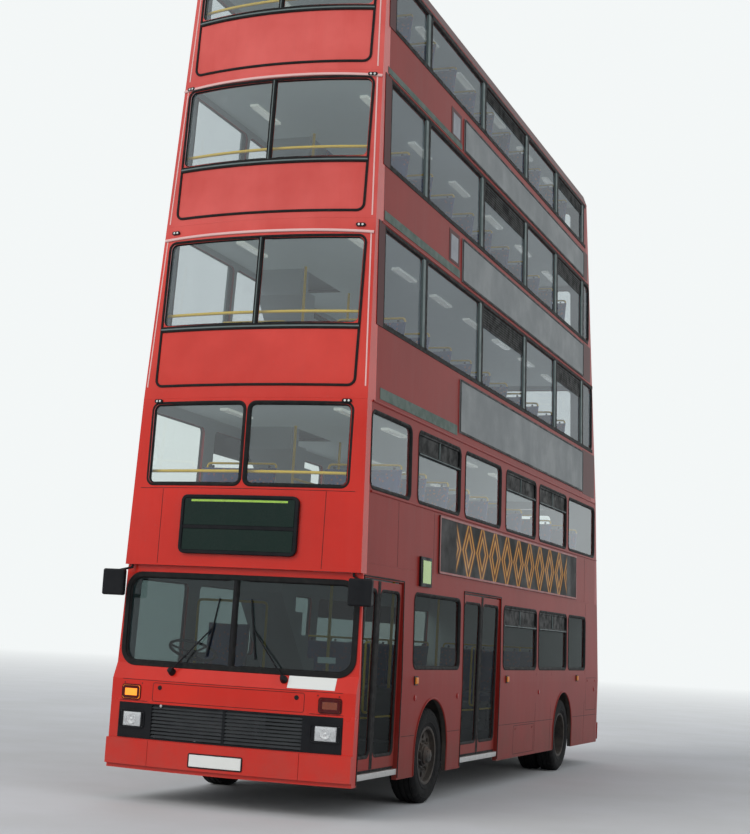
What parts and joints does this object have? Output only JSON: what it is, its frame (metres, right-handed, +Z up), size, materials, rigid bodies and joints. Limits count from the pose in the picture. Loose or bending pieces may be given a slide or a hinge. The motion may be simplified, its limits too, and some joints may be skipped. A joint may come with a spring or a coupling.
{
  "type": "five-deck bus",
  "caption": "Tall red passenger bus with stacked saloons, twin nearside doorways, steered front wheels and twin rear wheels.",
  "frame": {"origin": "on the ground, half way along and half way across the bus", "axes": "+X forwards, +Y to the nearside where the doors are, +Z up"},
  "size_m": [10.2498, 2.77, 8.5298],
  "materials": {
    "red_paint": "glossy vehicle paint",
    "chassis_black": "satin chassis paint",
    "axle_steel": "rough cast",
    "floor_grey": "studded floor covering on plywood",
    "trim_black": "black moulding",
    "glass": "tinted safety glass",
    "tyre": "worn tread",
    "wheel_paint": "painted wheel",
    "seat_fabric": "moquette",
    "stair_grey": "painted treads",
    "engine_grey": "oily castings",
    "rail_yellow": "coated tube",
    "lamp_glass": "moulded lens",
    "panel_dark": "dark side panel",
    "panel_grey": "plain grey side panel"
  },
  "bodies": {
    "body": {"chassis_frame": "chassis_black", "towing_eyes": "chassis_black", "front_axle": "axle_steel", "rear_axle": "axle_steel", "engine_block": "engine_grey", "lower_floor": "floor_grey", "wheel_boxes": "chassis_black", "engine_bulkhead": "floor_grey", "deck_floors": "floor_grey", "stairs": "stair_grey", "lower_nearside": "red_paint", "lower_offside": "red_paint", "lower_front": "red_paint", "lower_rear": "red_paint", "upper_nearside": "red_paint", "upper_offside": "red_paint", "upper_front": "red_paint", "upper_rear": "red_paint", "roof": "red_paint", "windscreen": "glass", "nearside_glass": "glass", "offside_glass": "glass", "front_glass": "glass", "rear_glass": "glass", "front_bumper": "red_paint", "rear_bumper": "red_paint", "destination_box": "trim_black", "nearside_seats": "seat_fabric", "offside_seats": "seat_fabric", "front_grille": "trim_black", "front_lamps": "lamp_glass", "rear_lamps": "lamp_glass", "mirrors": "trim_black", "wipers": "trim_black", "advert_panels": "panel_dark", "sign_panels": "panel_grey", "cab": "trim_black", "handrails": "rail_yellow"},
    "steer_left": {"steering_knuckle_left": "axle_steel"},
    "steer_right": {"steering_knuckle_right": "axle_steel"},
    "track_rod": {"track_rod": "axle_steel"},
    "front_wheel_left": {"front_rim_left": "wheel_paint", "front_tyre_left": "tyre"},
    "front_wheel_right": {"front_rim_right": "wheel_paint", "front_tyre_right": "tyre"},
    "rear_wheels_left": {"rear_rims_left": "wheel_paint", "rear_tyres_left": "tyre"},
    "rear_wheels_right": {"rear_rims_right": "wheel_paint", "rear_tyres_right": "tyre"},
    "entrance_front_leaf": {"entrance_leaf_front": "red_paint", "entrance_leaf_front_glass": "glass"},
    "entrance_rear_leaf": {"entrance_leaf_rear": "red_paint", "entrance_leaf_rear_glass": "glass"},
    "exit_front_leaf": {"exit_leaf_front": "red_paint", "exit_leaf_front_glass": "glass"},
    "exit_rear_leaf": {"exit_leaf_rear": "red_paint", "exit_leaf_rear_glass": "glass"},
    "engine_cover": {"engine_cover": "red_paint"},
    "emergency_exit": {"emergency_exit": "red_paint", "emergency_exit_glass": "glass"}
  },
  "joints": [
    {"name": "steering_left", "type": "hinge", "parent": "body", "child": "steer_left", "pos_m": [2.8, 0.93, 0.48], "axis": [0, 0, 1], "range_deg": [-35, 35]},
    {"name": "steering_right", "type": "hinge", "parent": "body", "child": "steer_right", "pos_m": [2.8, -0.93, 0.48], "axis": [0, 0, 1], "range_deg": [-35, 35]},
    {"name": "track_rod_turn", "type": "hinge", "parent": "steer_left", "child": "track_rod", "pos_m": [2.6, 0.93, 0.344], "axis": [0, 0, 1], "range_deg": [-35, 35]},
    {"name": "front_wheel_left_spin", "type": "hinge", "parent": "steer_left", "child": "front_wheel_left", "pos_m": [2.8, 1.0875, 0.48], "axis": [0, 1, 0], "continuous": true},
    {"name": "front_wheel_right_spin", "type": "hinge", "parent": "steer_right", "child": "front_wheel_right", "pos_m": [2.8, -1.0875, 0.48], "axis": [0, 1, 0], "continuous": true},
    {"name": "rear_wheels_left_spin", "type": "hinge", "parent": "body", "child": "rear_wheels_left", "pos_m": [-2.84, 0.97, 0.48], "axis": [0, 1, 0], "continuous": true},
    {"name": "rear_wheels_right_spin", "type": "hinge", "parent": "body", "child": "rear_wheels_right", "pos_m": [-2.84, -0.97, 0.48], "axis": [0, 1, 0], "continuous": true},
    {"name": "entrance_front_leaf_turn", "type": "hinge", "parent": "body", "child": "entrance_front_leaf", "pos_m": [4.828, 1.197, 0.432], "axis": [0, 0, 1], "range_deg": [0, 88]},
    {"name": "entrance_rear_leaf_turn", "type": "hinge", "parent": "body", "child": "entrance_rear_leaf", "pos_m": [3.832, 1.197, 0.432], "axis": [0, 0, -1], "range_deg": [0, 88]},
    {"name": "exit_front_leaf_turn", "type": "hinge", "parent": "body", "child": "exit_front_leaf", "pos_m": [1.758, 1.197, 0.432], "axis": [0, 0, 1], "range_deg": [0, 88]},
    {"name": "exit_rear_leaf_turn", "type": "hinge", "parent": "body", "child": "exit_rear_leaf", "pos_m": [0.382, 1.197, 0.432], "axis": [0, 0, -1], "range_deg": [0, 88]},
    {"name": "engine_cover_lift", "type": "hinge", "parent": "body", "child": "engine_cover", "pos_m": [-5.08233, 0, 1.284], "axis": [0, 1, 0], "range_deg": [0, 75]},
    {"name": "emergency_exit_lift", "type": "hinge", "parent": "body", "child": "emergency_exit", "pos_m": [-4.85876, 0, 3.734], "axis": [0, 1, 0], "range_deg": [0, 60]}
  ],
  "couplings": [
    {"joint": "steering_right", "follows": "steering_left", "ratio": 1},
    {"joint": "track_rod_turn", "follows": "steering_left", "ratio": -1}
  ]
}
